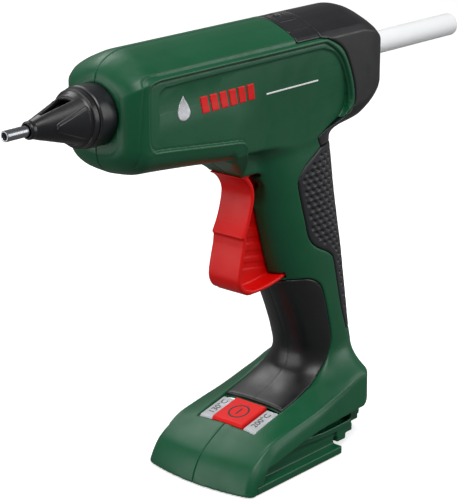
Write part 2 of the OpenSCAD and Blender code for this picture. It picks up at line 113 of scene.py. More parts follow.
def outline(p, a, b):
    """Signed distance to a closed outline in the plane of a and b, negative inside."""
    p = np.asarray(p, np.float32)
    a, b = np.broadcast_arrays(np.float32(a), np.float32(b))
    d = np.full(a.shape, 1e9, np.float32)
    s = np.zeros(a.shape, bool)
    for (x0, z0), (x1, z1) in zip(p, np.roll(p, -1, 0)):
        ex, ez = x1 - x0, z1 - z0
        n = ex * ex + ez * ez
        if n < 1e-9:
            continue
        wx, wz = a - x0, b - z0
        c = np.clip((wx * ex + wz * ez) / n, 0, 1)
        d = np.minimum(d, (wx - ex * c) ** 2 + (wz - ez * c) ** 2)
        if abs(ez) > 1e-9:
            s ^= ((z0 > b) != (z1 > b)) & (a < ex * (b - z0) / ez + x0)
    d = np.sqrt(d)
    return np.where(s, -d, d)


def track(p, a, b):
    """Distance to an open line through the points p."""
    p = np.asarray(p, np.float32)
    a, b = np.broadcast_arrays(np.float32(a), np.float32(b))
    d = np.full(a.shape, 1e9, np.float32)
    for (x0, z0), (x1, z1) in zip(p[:-1], p[1:]):
        ex, ez = x1 - x0, z1 - z0
        wx, wz = a - x0, b - z0
        c = np.clip((wx * ex + wz * ez) / max(ex * ex + ez * ez, 1e-9), 0, 1)
        d = np.minimum(d, (wx - ex * c) ** 2 + (wz - ez * c) ** 2)
    return np.sqrt(d)


class Grid:
    """A grid of points from t0 to t1 and z0 to z1, and from the middle out to y1."""

    def __init__(self, t0, t1, y1, z0, z1, h, y0=None):
        self.h = h
        self.t = (t0 + h * np.arange(int((t1 - t0) / h) + 2)).astype(np.float32)
        self.z = (z0 + h * np.arange(int((z1 - z0) / h) + 2)).astype(np.float32)
        first = -3 if y0 is None else int(math.floor(y0 / h))
        self.y = (h * (np.arange(first, int(y1 / h) + 2) + 0.5)).astype(np.float32)
        self.skip = 3 if y0 is None else None
        self.T = self.t[:, None, None]
        self.Y = np.abs(self.y)[None, :, None]
        self.S = self.y[None, :, None]
        self.Z = self.z[None, None, :]
        self.T2 = self.t[:, None]
        self.Z2 = self.z[None, :]

    def flat(self, f):
        """Spreads a field over t and z across y."""
        return f[:, None, :]

    def normal(self, f):
        g = np.gradient(f, self.h)
        n = np.sqrt(g[0] ** 2 + g[1] ** 2 + g[2] ** 2)
        return f / np.clip(n, 0.7, None)

    def mesh(self, name, f, part="full", keep=None):
        """Turns the field into a mesh: full mirrors the half grid, left and right keep a side."""
        y = self.y
        if part == "full" and self.skip is not None:
            f = np.concatenate([f[:, self.skip:][:, ::-1], f[:, self.skip:]], 1)
            y = np.concatenate([-self.y[self.skip:][::-1], self.y[self.skip:]])
        vdb = openvdb.FloatGrid(1.0)
        vdb.copyFromArray(np.ascontiguousarray(f, dtype=np.float32))
        pts, tris, quads = vdb.convertToPolygons(0.0, 0.0)
        pts = pts.astype(float)
        t = self.t[0] + pts[:, 0] * self.h
        yy = y[0] + pts[:, 1] * self.h
        z = self.z[0] + pts[:, 2] * self.h
        if part == "right":
            yy = -yy
        return make_mesh(name, to_row(t, yy, z), tris, quads, keep)


def make_mesh(name, pts, tris, quads, keep=None):
    """A mesh object from points and faces, with its faces outward and at most keep of them."""
    tris, quads = np.asarray(tris, int).reshape(-1, 3), np.asarray(quads, int).reshape(-1, 4)
    a, b, c = (pts[quads[:, i]] for i in range(3)) if len(quads) else (pts[tris[:, i]] for i in range(3))
    vol = np.einsum("ij,ij->", a - pts.mean(0), np.cross(b - pts.mean(0), c - pts.mean(0)))
    if len(quads):
        d = pts[quads[:, 3]]
        vol += np.einsum("ij,ij->", a - pts.mean(0), np.cross(c - pts.mean(0), d - pts.mean(0)))
    if vol < 0:
        tris, quads = tris[:, ::-1], quads[:, ::-1]
    m = bpy.data.meshes.new(name)
    m.vertices.add(len(pts))
    m.vertices.foreach_set("co", pts.astype(np.float32).ravel())
    loops = np.concatenate([tris.ravel(), quads.ravel()])
    start = np.concatenate([np.arange(len(tris)) * 3, len(tris) * 3 + np.arange(len(quads)) * 4])
    m.loops.add(len(loops))
    m.loops.foreach_set("vertex_index", loops.astype(np.int32))
    m.polygons.add(len(start))
    m.polygons.foreach_set("loop_start", start.astype(np.int32))
    m.update(calc_edges=True)
    m.validate()
    m.polygons.foreach_set("use_smooth", np.ones(len(m.polygons), bool))
    o = bpy.data.objects.new(name, m)
    bpy.context.scene.collection.objects.link(o)
    faces = len(tris) + 2 * len(quads)
    if keep and faces > keep:
        mod = o.modifiers.new("fewer", "DECIMATE")
        mod.ratio = keep / faces
        dg = bpy.context.evaluated_depsgraph_get()
        done = bpy.data.meshes.new_from_object(o.evaluated_get(dg))
        o.modifiers.clear()
        o.data = done
        done.name = name
        done.polygons.foreach_set("use_smooth", np.ones(len(done.polygons), bool))
    return o


# ---------------------------------------------------------------- the outer form

BARREL_FRONT = 49.5
BARREL_REAR = 223.2
BARREL_TOP = 24.4
BARREL_HALF = 21.6
FRONT_R = 11.0
FOOT_HALF = 31.7
RIDGE_HALF = 28.4
REST_Z = -183.3
TONGUE_Z = -172.7
FOOT_REAR = 212.8
PANEL_Y = 20.8

DOME = curve([(0, 24.4), (3.3, 24.15), (6.3, 23.4), (9, 22.5), (11.9, 21.25), (14.5, 20.1),
              (17, 18.75), (19.3, 17.3)], 2) + [(20.5, 15.8), (21.6, 14.5)]
BELLY = curve([(21.6, 8), (20.5, 5), (17.3, 2.6), (10.8, 0.8), (0, 0)], 3)


def barrel(g):
    """The barrel: a domed top, straight sides and a rounded belly, closed at both ends."""
    t = g.t.astype(float)
    r = FRONT_R
    into = t - BARREL_FRONT
    inset = np.where(into < r, r - np.sqrt(np.clip(r * r - (r - into) ** 2, 0, None)), 0)
    inset = np.where(into < 0, r, inset)
    ahead = np.clip((67.5 - t) / 18, 0, 1)
    inset_top = r * (1 - np.sqrt(1 - ahead ** 2))
    u = np.sqrt(np.clip(BARREL_REAR - t, 0, None))
    us = np.sqrt(BARREL_REAR - np.array([BARREL_REAR, 222.8, 221.8, 219, 214, 207, 199, 150]))
    w = through(u, us, [1, 7.5, 12.5, 17, 20, 21.2, BARREL_HALF, BARREL_HALF]) - inset
    top = through(u, us, [-3, 0, 4.7, 11.2, 18.2, 22.7, BARREL_TOP, BARREL_TOP]) - inset_top
    low = through(u, us, [-3.5, -6, -11, -16.4, -21.6, -26.4, -29.6, -33])
    keel = through(t, [40, 58, 93, 107, 130, 160], [-26, -27, -30.1, -31.6, -32.6, -33])
    low = np.where(t < 160, keel, low)
    low = low + inset
    s = through(u, us, [0.03, 0.1, 0.3, 0.55, 0.8, 0.95, 1, 1]) * (1 - 0.03 * inset)
    sb = np.clip(s * 1.3, 0, None) + 0.1 * step(t, 110, 60)
    w, top, low, s, sb = (v.astype(np.float32)[:, None, None] for v in (w, top, low, s, sb))
    y, z = g.Y, g.Z
    f = np.maximum(y - w, np.broadcast_to(BARREL_FRONT - g.T, (len(g.t), 1, 1)))
    f = np.broadcast_to(f, (len(g.t), len(g.y), len(g.z))).copy()
    k = w / BARREL_HALF
    for pts, base, sign in ((DOME, top, 1), (BELLY, low, -1)):
        for (y0, z0), (y1, z1) in zip(pts[:-1], pts[1:]):
            if sign > 0:
                za, zb = base - s * (BARREL_TOP - z0), base - s * (BARREL_TOP - z1)
            else:
                za, zb = base + sb * z0, base + sb * z1
            ey, ez = (y1 - y0) * k, zb - za
            n = np.sqrt(ey * ey + ez * ez) + 1e-6
            f = np.maximum(f, (-ez * (y - y0 * k) + ey * (z - za)) / n)
    return f


# The handle's height, front, rear and half width.
LEVELS = np.array([
    [-18, 130, 190, 17.6], [-40, 136, 195.2, 17], [-59, 145, 197.8, 17], [-75, 150, 200.8, 17],
    [-91, 155, 204, 17], [-104, 160.4, 206, 16.8], [-118, 167, 207.9, 16.8],
    [-130, 171.8, 209.4, 16.9], [-138, 173.8, 211.0, 17.1], [-146, 173.0, 212.2, 18],
    [-152, 168, 212.4, 19.4], [-158, 159, 212.4, 21], [-172, 140, 212.4, 24]])[::-1]


HOOD_EDGE = [(129.7, -38.4), (127.5, -34), (124.6, -30.6), (121.1, -27.1), (120.7, -24.4)]
HOOD_NOSE = [(112, -25), (115, -31.5), (120.5, -35.4), (128.8, -41.2), (129.6, -42)]


def hood(g):
    """The cover that comes down from the barrel over the trigger's upper end."""
    wide = g.flat(outline(HOOD_NOSE + [(131, -42.2)] + HOOD_EDGE, g.T2, g.Z2))
    wide = smax(wide, 0.8 * (g.Y - np.minimum(10.2 + 0.77 * np.maximum(g.Z + 41, 0), 20.2)), 1.6)
    deep = g.flat(outline(HOOD_NOSE + [(152, -42.6), (158, -25)], g.T2, g.Z2))
    return np.minimum(wide, smax(deep, g.Y - 10.9, 1.6))


def handle(g):
    """The handle: a squarish oval at each height of LEVELS."""
    z = g.z.astype(float)
    front, rear, wide = (through(z, LEVELS[:, 0], LEVELS[:, i]).astype(np.float32) for i in (1, 2, 3))
    a, c = ((rear - front) / 2)[None, None, :], ((rear + front) / 2)[None, None, :]
    b = wide[None, None, :]
    n = 2.35
    u, v = np.abs((g.T - c) / a), g.Y / b
    r = (u ** n + v ** n + 1e-9) ** (1 / n)
    f = (r - 1) * np.minimum(a, b)
    return np.maximum(np.maximum(f, g.Z + 16), -170 - g.Z)


# The foot's top along its middle, and how far it drops from there to the ridge at its side.
FOOT_T = [105.8, 106.6, 107.6, 109, 110.6, 112.5, 115.3, 121.8, 127.4, 136, 145, 160, 180, 197, 203,
          207.5, 210.4, 212, 212.8]
FOOT_TOP = [-184, -180.6, -177.8, -175.2, -172.8, -170.6, -168.4, -164.5, -161.7, -159, -156.6,
            -152.6, -146.5, -142, -144.2, -151, -158.5, -164.5, -172]
FOOT_DROP = [0.3, 0.4, 0.5, 0.5, 0.5, 0.5, 0.6, 0.8, 1.8, 3.1, 4.2, 5.9, 7.4, 8.2, 7.4, 6, 5, 4, 3]


def foot(g):
    """The foot: a crowned top with a ridge, sloping sides and a bowed front."""
    bow = 4.5 * (1 - step(g.T, 122, 150))
    tp = g.T - bow * (g.Y / FOOT_HALF) ** 2
    tp1 = np.linspace(100, 216, 2400)
    top = np.interp(tp, tp1, through(tp1, FOOT_T, FOOT_TOP)).astype(np.float32)
    drop = np.interp(tp, tp1, through(tp1, FOOT_T, FOOT_DROP)).astype(np.float32)
    q = g.Y / RIDGE_HALF
    ridge = top - drop
    across = np.where(q < 1, q ** 3, 1 + 3 * (q - 1)) * drop
    f = (g.Z - (top - across)) * 0.93
    f = smax(f, (g.Y - RIDGE_HALF + g.Z - ridge) / 1.4142, 0.5)
    side = g.Y - FOOT_HALF + 0.16 * (g.Z - TONGUE_Z)
    edge = np.sqrt((g.Y - RIDGE_HALF) ** 2 + (g.Z - ridge) ** 2)
    f = f - 0.5 * np.exp(-(edge / 0.6) ** 2) * step(g.T, 116, 132)
    r = 26
    qt, qy = g.T - (FOOT_REAR - r), g.Y - (FOOT_HALF - r)
    plan = np.minimum(np.maximum(qt, qy), 0) + np.sqrt(np.maximum(qt, 0) ** 2 + np.maximum(qy, 0) ** 2) - r
    f = smax(f, np.maximum(side, plan), 1.6)
    toe = (g.T < 119.6 + 0.5 * (g.Z + 179)) & (g.Y > 26.8)
    floor = np.where(g.T < 114.5, REST_Z, np.where(toe, -179.4, TONGUE_Z))
    floor = np.where((g.T > 203) | ((g.T > 189) & (g.Y > 21.5)), -165.8, floor)
    f = smax(f, floor - g.Z, 0.6 + 2.6 * step(g.T, 196, 206))
    return np.maximum(f, 105.6 + bow * (g.Y / FOOT_HALF) ** 2 - g.T)


# The groove round the side panel, the panel's outline, and the pocket in it.
LINE_A = curve([(54.6, -20), (54.9, -14.5), (55.8, -0.3), (56.8, 12.5)], 3) + curve(
    [(57.3, 14.2), (59.5, 15.6), (66, 15.6)], 3) + [(120, 15.4), (153, 15.3)]
PANEL = curve([(65.9, -15.2), (62.7, -14.9), (60.1, -12.8), (59.3, -9.3), (59.3, -1), (59.5, 9),
               (60.8, 12.4), (66, 13.4)], 3) + [(110, 13.2), (172, 12.9)] + curve(
    [(173.5, 12.6), (180.4, 8.6), (185.8, 3.2), (190.2, -6), (192.2, -15), (190.9, -19.6), (185.4, -23),
     (178.4, -26.2), (171, -29.5)], 4)
PANEL_LOW = curve([(66.5, -15.2), (77, -16.4), (89, -17.8), (102, -19.3), (114.5, -20.7), (118.4, -22),
                   (120.7, -24.4)], 3)[:-1] + HOOD_EDGE[::-1]
RECESS = PANEL + [(174, -60), (134, -60), (131, -43)] + PANEL_LOW[::-1]
POCKET = curve([(65.6, -13), (65.6, 4), (66.2, 8.4), (69.5, 10.2)], 3) + [(88, 10.4), (168, 10.3)] + curve(
    [(172, 10.1), (179, 7.6), (184.5, 2.8), (189, -5.5), (191.2, -14), (190.6, -20), (186.5, -24.5),
     (180, -28.5), (176, -36)], 3) + [(172, -60), (134, -60), (131, -43)] + PANEL_LOW[::-1]


def body(g, details=True):
    """The whole outer form, with its panel lines and side pockets."""
    f = smin(smin(barrel(g), handle(g), 6.0), hood(g), 1.6)
    f = smin(f, foot(g), 9.0)
    f = g.normal(f)
    if details:
        t, z = g.T2, g.Z2
        near = step(g.Y, 13, 15)
        pocket = outline(POCKET, t, z)
        zz = g.z.astype(float)
        front = 20.0 + 1.8 * step(zz, 4, -16)
        back = 20.0 - 2.7 * step(zz, 10, -34)
        mix = step(g.t.astype(float), 100, 138)[:, None]
        limit = (front[None, :] * (1 - mix) + back[None, :] * mix).astype(np.float32)
        cut = np.maximum(g.flat(limit) - g.Y, g.flat(pocket))
        cut = np.maximum(cut, -38 - g.Z)
        f = smax(f, -cut, 0.7)
        dp = outline(RECESS, t, z)
        recess = np.maximum(np.maximum(PANEL_Y - g.Y, g.flat(dp)), -38 - g.Z)
        f = smax(f, -recess, 0.4)
        g.cut = np.minimum(cut, recess)
        groove = 0.5 * np.exp(-(track(LINE_A, t, z) / 0.55) ** 2)
        low_rear = step(t, 150, 165) * step(z, -12, -18)
        bead = 0.22 * np.exp(-((dp - 0.7) / 0.6) ** 2) * step(z, -36, -28) * (1 - low_rear)
        line = 0.25 * np.exp(-((dp + 0.2) / 0.45) ** 2) * step(z, -36, -28) * (1 - low_rear)
        groove = groove - bead + line
        f = f + near * g.flat(groove.astype(np.float32))
    return f


CAP = [(169.9, 30), (169.9, 15)] + curve([(174.3, 14.4), (182.6, 10.4), (187.9, 5), (192.7, -5), (195, -14.7),
      (193.4, -20.5), (186.7, -24.8), (179.4, -28.2), (173.5, -31.3)], 3) + [
    (177, -36.2), (240, -37.2), (240, 30)]
BAND = [(153.5, 30), (153.5, 15.3), (169.75, 15.3), (169.75, 30)]
GRIP_REAR = curve([(176.8, -36.4), (166.2, -42.2), (161.3, -47.7), (160.9, -52.2), (165.7, -67.9), (169, -78),
                   (174.3, -83.3), (183.9, -88.4), (188.2, -94.3), (194.3, -117.5), (199.6, -130.7)], 4) + [
    (240, -134), (240, -37.4)]
GRIP_FRONT = [(140, -101.5), (157, -99.5)] + curve(
    [(161, -97.6), (169.5, -97.9), (175.7, -100.8), (180.1, -106.7), (185.9, -126.5), (186.2, -135.6),
     (181.7, -143.6), (170.3, -151), (149.6, -158.4)], 4) + [(149.6, -150), (140, -150)]
WINDOW = [(129.4, -150), (129.4, -168), (149.5, -168), (149.5, -150)]
SCREWS = [(79, 13.2), (119, 13), (161, 13), (112, -24.5), (166, -25), (186, -112), (200, -160),
          (122.5, -169.45)]
WELL = [(131.4, -36), (130.6, -40.2), (130.2, -42.6), (126.9, -44), (126.9, -60), (146.2, -60), (146.1, -56),
        (144.3, -49), (141.5, -45), (144, -42), (150.2, -41), (150.2, -24), (131.4, -24)]
WEB_SLOT = [(131.5, -30), (131.5, -42), (126, -44), (126, -97.6), (172, -97.6), (172, -60), (152, -30)]
# The trigger's pivot, the radius of the lip that closes its slot, and its half width.
PIVOT = (141.0, -27.0)
SKIN = 1.75
LIP_R = 71.7
BLADE = 9.3


def arc(r0, r1, a0, a1, n=14):
    """A ring's sector about the pivot, as a closed outline."""
    def at(r, a):
        return (PIVOT[0] + r * math.cos(math.radians(a)), PIVOT[1] + r * math.sin(math.radians(a)))
    return [at(r0, a0 + (a1 - a0) * i / n) for i in range(n + 1)] + [
        at(r1, a0 + (a1 - a0) * i / n) for i in range(n, -1, -1)]


def disc(g, c, r):
    return g.flat(np.sqrt((g.T2 - c[0]) ** 2 + (g.Z2 - c[1]) ** 2) - r)


def slots(g):
    """The space that the trigger moves in."""
    f = np.maximum(g.flat(outline(WEB_SLOT, g.T2, g.Z2)), g.Y - 2)
    f = np.minimum(f, np.maximum(g.flat(outline(WELL, g.T2, g.Z2)), g.Y - BLADE - 0.4))
    lip = g.flat(outline(arc(LIP_R - 2.5, LIP_R + 0.5, -100, -50), g.T2, g.Z2))
    f = np.minimum(f, np.maximum(lip, g.Y - BLADE - 0.4))
    return np.minimum(f, np.maximum(disc(g, PIVOT, 5.1), g.Y - 13.6))


def axial(g, r):
    return np.sqrt(g.Y ** 2 + g.Z ** 2) - r


def palm_side(g):
    return g.Y - 17.2 - 10 * step(g.Z, -152, -140)


def shell_fields(g):
    """The hollow housing, with its bosses, windows and slots, before it is split in two."""
    outer = body(g)
    cut = g.cut
    plain = body(g, False)
    regions = outline(CAP, g.T2, g.Z2)
    regions = np.minimum(regions, outline(BAND, g.T2, g.Z2))
    palm = np.maximum(g.flat(outline(GRIP_FRONT, g.T2, g.Z2)), palm_side(g))
    grips = np.minimum(g.flat(outline(GRIP_REAR, g.T2, g.Z2)), palm)
    f = smax(outer, -g.flat(regions) + 0.06, 0.9)
    f = smax(f, -np.maximum(-(plain + SKIN), grips - 0.08), 0.9)
    f = np.maximum(f, -np.maximum(plain + 3.0, 2.4 - cut))
    boss = np.full((len(g.t), len(g.z)), 1e3, np.float32)
    for q in SCREWS:
        boss = np.minimum(boss, np.sqrt((g.T2 - q[0]) ** 2 + (g.Z2 - q[1]) ** 2) - 3.2)
    bosses = np.maximum(g.flat(boss), outer + 0.9)
    ear = np.maximum(np.maximum(disc(g, PIVOT, 4.6), 13.5 - g.Y), outer + 0.9)
    f = smin(f, np.minimum(bosses, ear), 0.8)
    f = np.maximum(f, -g.flat(regions) + 0.06)
    window = np.maximum(g.flat(outline(WINDOW, g.T2, g.Z2)), g.Y - 17.3)
    f = smax(f, -window, 0.7)
    f = smax(f, -slots(g), 0.8)
    f = smax(f, -np.maximum(axial(g, 12.3), g.T - 60), 0.8)
    f = np.maximum(f, -np.maximum(np.maximum(np.maximum(137 - g.T, g.T - 171), g.Y - 11), g.Z + 168.5))
    return f


# ---------------------------------------------------------------- materials


class Nodes:
    """A short way to write a node material."""

    def __init__(self, name):
        self.mat = bpy.data.materials.new(name)
        self.mat.use_nodes = True
        self.tree = self.mat.node_tree
        self.bsdf = self.tree.nodes["Principled BSDF"]
        self.coord = self.tree.nodes.new("ShaderNodeTexCoord").outputs["Object"]

    def node(self, kind, **inputs):
        n = self.tree.nodes.new(kind)
        for k, v in inputs.items():
            key = k.replace("_", " ")
            if key in n.inputs:
                self.put(n.inputs[key], v)
            else:
                setattr(n, k, v)
        return n

    def put(self, socket, v):
        if isinstance(v, bpy.types.NodeSocket):
            self.tree.links.new(v, socket)
        else:
            socket.default_value = v

    def noise(self, scale, detail=3.0, rough=0.5, stretch=None):
        vec = self.coord
        if stretch:
            vec = self.node("ShaderNodeMapping", Vector=self.coord, Scale=stretch).outputs[0]
        n = self.node("ShaderNodeTexNoise", Vector=vec, Scale=scale, Detail=detail, Roughness=rough)
        return n.outputs[0]

    def mix(self, fac, a, b, blend="MIX"):
        n = self.tree.nodes.new("ShaderNodeMix")
        n.data_type = "RGBA"
        n.blend_type = blend
        self.put(n.inputs["Factor"], fac)
        self.put([s for s in n.inputs if s.name == "A" and s.type == "RGBA"][0], a)
        self.put([s for s in n.inputs if s.name == "B" and s.type == "RGBA"][0], b)
        return [s for s in n.outputs if s.type == "RGBA"][0]

    def range(self, v, a, b, lo=0.0, hi=1.0):
        n = self.node("ShaderNodeMapRange")
        self.put(n.inputs["Value"], v)
        n.inputs["From Min"].default_value = lo
        n.inputs["From Max"].default_value = hi
        n.inputs["To Min"].default_value = a
        n.inputs["To Max"].default_value = b
        return n.outputs[0]

    def bump(self, height, strength, distance):
        n = self.node("ShaderNodeBump", Height=height)
        n.inputs["Strength"].default_value = strength
        n.inputs["Distance"].default_value = distance
        return n.outputs[0]

    def edges(self, lo, hi):
        g = self.tree.nodes.new("ShaderNodeNewGeometry")
        return self.range(g.outputs["Pointiness"], 0.0, 1.0, lo, hi)


GRAIN_DEPTH = 0.00002


def rgb(r, g, b):
    """sRGB 0-255 to a linear colour."""
    def lin(c):
        c /= 255
        return c / 12.92 if c < 0.04045 else ((c + 0.055) / 1.055) ** 2.4
    return (lin(r), lin(g), lin(b), 1)


def plastic(name, colour, light, rough=0.42, grain=2600, strength=0.35, spec=0.5, edge_wear_and_highlight=0.35):
    """Moulded plastic with a fine grain, convex edges lightened as wear and painted highlight, and painted
    shade darkening its hollows and grooves.
    """
    n = Nodes(name)
    broad = n.noise(28, 2)
    fine = n.noise(grain, 2, 0.6)
    col = n.mix(n.range(broad, 0, 0.35, 0.3, 0.7), colour, light)
    col = n.mix(n.range(fine, 0, 0.12, 0.35, 0.7), col, light)
    # Convex edges are lightened towards the lighter tone, broken up by noise: partly wear, partly painted
    # highlight along edges and panel lines.
    edge = n.edges(0.515, 0.60)
    # The painted shade colour for creases and hollows: a third of the base colour.
    dark = tuple(c * 0.35 for c in colour[:3]) + (1,)
    worn_and_highlit = n.node("ShaderNodeMath", operation="MULTIPLY")
    n.put(worn_and_highlit.inputs[0], edge)
    n.put(worn_and_highlit.inputs[1], n.range(n.noise(180, 3), 0.2, edge_wear_and_highlight, 0.35, 0.65))
    col = n.mix(worn_and_highlit.outputs[0], col, light)
    # Painted shade: concave creases, grooves and hollows are darkened towards that colour.
    col = n.mix(n.edges(0.40, 0.485), dark, col)
    n.put(n.bsdf.inputs["Base Color"], col)
    n.put(n.bsdf.inputs["Roughness"], n.range(n.noise(140, 3), rough - 0.05, rough + 0.07, 0.3, 0.7))
    n.bsdf.inputs["Specular IOR Level"].default_value = spec
    n.put(n.bsdf.inputs["Normal"], n.bump(fine, strength, GRAIN_DEPTH))
    return n.mat


def metal(name, colour, dark, rough=0.28, stretch=(1, 1, 1), scale=900, strength=0.25):
    """Brushed or cast metal, with streaks along its stretch."""
    n = Nodes(name)
    lines = n.noise(scale, 3, 0.6, stretch)
    col = n.mix(n.range(lines, 0, 0.5, 0.3, 0.7), colour, dark)
    col = n.mix(n.range(n.noise(90, 3), 0, 0.25, 0.4, 0.75), col, dark)
    n.put(n.bsdf.inputs["Base Color"], col)
    n.bsdf.inputs["Metallic"].default_value = 1.0
    n.put(n.bsdf.inputs["Roughness"], n.range(lines, rough - 0.06, rough + 0.1, 0.3, 0.7))
    n.put(n.bsdf.inputs["Normal"], n.bump(lines, strength, GRAIN_DEPTH))
    return n.mat


def clear(name, colour, rough, transmission, ior=1.49):
    """A see-through or milky plastic."""
    n = Nodes(name)
    col = n.mix(n.range(n.noise(60, 2), 0, 0.4, 0.3, 0.7), colour, tuple(min(1, c * 1.08) for c in colour))
    n.put(n.bsdf.inputs["Base Color"], col)
    n.put(n.bsdf.inputs["Roughness"], n.range(n.noise(400, 2), rough, rough + 0.08, 0.3, 0.7))
    n.bsdf.inputs["Transmission Weight"].default_value = transmission
    n.bsdf.inputs["IOR"].default_value = ior
    n.put(n.bsdf.inputs["Normal"], n.bump(n.noise(160, 1), 0.1, 0.00003))
    return n.mat


GREEN = plastic("green_plastic", rgb(4, 74, 44), rgb(16, 92, 60), rough=0.4, strength=0.3, spec=0.4, edge_wear_and_highlight=0.5)
BLACK = plastic("black_plastic", rgb(17, 18, 21), rgb(32, 33, 37), rough=0.33, spec=0.5)
BLACK_SATIN = plastic("black_satin", rgb(15, 16, 19), rgb(29, 30, 34), rough=0.4, grain=2200, strength=0.5)
GRIP = plastic("soft_grip", rgb(20, 21, 25), rgb(36, 37, 42), rough=0.42, grain=3000, spec=0.5)
GRIP_SMOOTH = plastic("soft_grip_smooth", rgb(12, 13, 15), rgb(26, 27, 30), rough=0.36, grain=3200, spec=0.5)
RED = plastic("red_plastic", rgb(206, 5, 3), rgb(220, 16, 10), rough=0.4, spec=0.26, strength=0.2, edge_wear_and_highlight=0.25)
STEEL = metal("turned_steel", rgb(162, 164, 168), rgb(132, 134, 140), 0.24, (1, 0.05, 0.05), 1500,
              strength=0.06)
SCREW = metal("screw_steel", rgb(120, 122, 128), rgb(60, 62, 66), 0.35, scale=500)
ALLOY = metal("cast_alloy", rgb(186, 188, 192), rgb(140, 142, 148), 0.42, scale=260, strength=0.5)
BRASS = metal("brass", rgb(214, 178, 104), rgb(170, 128, 66), 0.3, (1, 30, 30), 60)
CERAMIC = plastic("ceramic", rgb(214, 206, 188), rgb(232, 226, 212), rough=0.6, grain=900)
SILICONE = plastic("silicone", rgb(168, 62, 40), rgb(190, 84, 58), rough=0.55, grain=1200)
NYLON = plastic("nylon", rgb(222, 220, 208), rgb(238, 236, 226), rough=0.45, grain=1500)
BOARD = plastic("board", rgb(16, 84, 46), rgb(34, 108, 62), rough=0.3, grain=700)
RED_LEAD = plastic("red_lead", rgb(170, 24, 18), rgb(196, 44, 34), rough=0.4, grain=2000)
BLACK_LEAD = plastic("black_lead", rgb(22, 22, 24), rgb(38, 38, 42), rough=0.4, grain=2000)
LENS = clear("clear_lens", (0.8, 0.83, 0.86, 1), 0.05, 0.5)
PRINT = plastic("dark_print", rgb(24, 24, 26), rgb(44, 44, 48), rough=0.5)
SILVER = metal("silver_mark", rgb(196, 198, 201), rgb(164, 166, 170), 0.36, scale=400)
WHITE_MARK = plastic("white_mark", rgb(222, 226, 224), rgb(238, 240, 238), rough=0.45)
GLUE = clear("glue", (0.95, 0.97, 0.985, 1), 0.3, 0.12, 1.42)


def dress(obj, material, body="housing", stands_for=()):
    """Gives a piece its material and its body, and hides the nodes it stands for."""
    obj.data.materials.clear()
    obj.data.materials.append(material)
    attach(obj, body)
    if stands_for:
        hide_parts(*stands_for)
    return obj


CARRIED = {
    "melt_chamber": ALLOY, "chamber_mounts": CERAMIC, "heater": CERAMIC, "heater_clip": SCREW,
    "thermal_sensor": BLACK, "inlet_sleeve": SILICONE, "sleeve_clamp": SCREW, "guide_tube": BLACK_SATIN,
    "feed_carriage": NYLON, "clamp_jaw": SCREW, "return_spring": SCREW, "trigger_pin": SCREW,
    "circuit_board": BOARD, "power_switch": BLACK, "indicator_leds": LENS, "heater_leads": RED_LEAD,
    "battery_leads": BLACK_LEAD, "terminal_block": BLACK_SATIN, "contact_blades": BRASS,
    "housing_screws": SCREW,
}
for key, material in CARRIED.items():
    mesh = nodes[key].data
    if len(mesh.materials):
        for i in range(len(mesh.materials)):
            mesh.materials[i] = material
    else:
        mesh.materials.append(material)

# ---------------------------------------------------------------- the shells

KEEP = 190000
SEAM = 0.07
GAP = 0.08


def shells():
    g = Grid(48, 214.6, 34.6, -184.4, 26, 0.54)
    f = shell_fields(g)
    skirt_z = np.interp(g.T2, [114, 119, 125, 145, 162, 190, 214],
                        [-179, -177, -173, -169.2, -166.8, -165.4, -165])
    skirt = g.flat((g.Z2 - skirt_z).astype(np.float32))
    skirt_cut = np.maximum(np.maximum(skirt, 27.7 - g.Y), 119.6 + 0.5 * (g.Z + 179) - g.T)
    f = smax(f, -skirt_cut, 0.6)
    left = g.mesh("shell_left", np.maximum(f, SEAM - g.S), "left", KEEP)
    dress(left, GREEN, stands_for=["housing_left"])
    holes = np.full((len(g.t), len(g.z)), 1e3, np.float32)
    for q in SCREWS:
        r = 1.9 if q == SCREWS[-1] else 3.05
        holes = np.minimum(holes, np.sqrt((g.T2 - q[0]) ** 2 + (g.Z2 - q[1]) ** 2) - r)
    f = smax(f, -np.maximum(g.flat(holes), 9.5 - g.S), 0.5)
    right = g.mesh("shell_right", np.maximum(f, SEAM - g.S), "right", KEEP)
    dress(right, GREEN, stands_for=["housing_right"])


shells()

# ---------------------------------------------------------------- rear cover, band, grips


def rear_cover():
    g = Grid(168, 224.4, 23.4, -40, 26, 0.45)
    b = body(g, False)
    f = smax(b, g.flat(outline(CAP, g.T2, g.Z2)) + GAP, 0.9)
    f = np.maximum(f, -(b + 2.7))
    f = smin(f, np.maximum(np.maximum(axial(g, 9.6), 205 - g.T), b), 0.6)
    f = smax(f, -axial(g, 7.5), 1.4)
    dress(g.mesh("end_cover", f, keep=KEEP), BLACK_SATIN, stands_for=["rear_cover"])


def band():
    """The saddle on top, and the inlay in it with its two rings."""
    middle = 161.6
    g = Grid(152.6, 170.4, 22.4, 13.6, 25.6, 0.3)
    b = body(g, False)
    f = smax(b, g.flat(outline(BAND, g.T2, g.Z2)) + GAP, 0.7)
    f = np.maximum(f, -(b + 2.6))
    inlay = np.maximum(np.abs(g.T - middle) - 5.15, np.maximum(g.Y - 8.25, 21.3 - g.Z))
    f = smax(f, -inlay, 0.5)
    f = f + 0.35 * np.exp(-((g.Y - 15.2) / 0.28) ** 2)
    dress(g.mesh("band", f), BLACK, stands_for=["top_band"])

    f = smax(b + 0.12, np.maximum(np.abs(g.T - middle) - 5.0, np.maximum(g.Y - 8.1, 21.5 - g.Z)), 0.5)
    rings = np.sqrt((g.T - middle) ** 2 + g.Y ** 2)
    for r in (1.2, 3.0):
        f = f + 0.4 * np.exp(-((rings - r) / 0.32) ** 2)
    dress(g.mesh("band_inset", f), BLACK, stands_for=["band_inlay"])


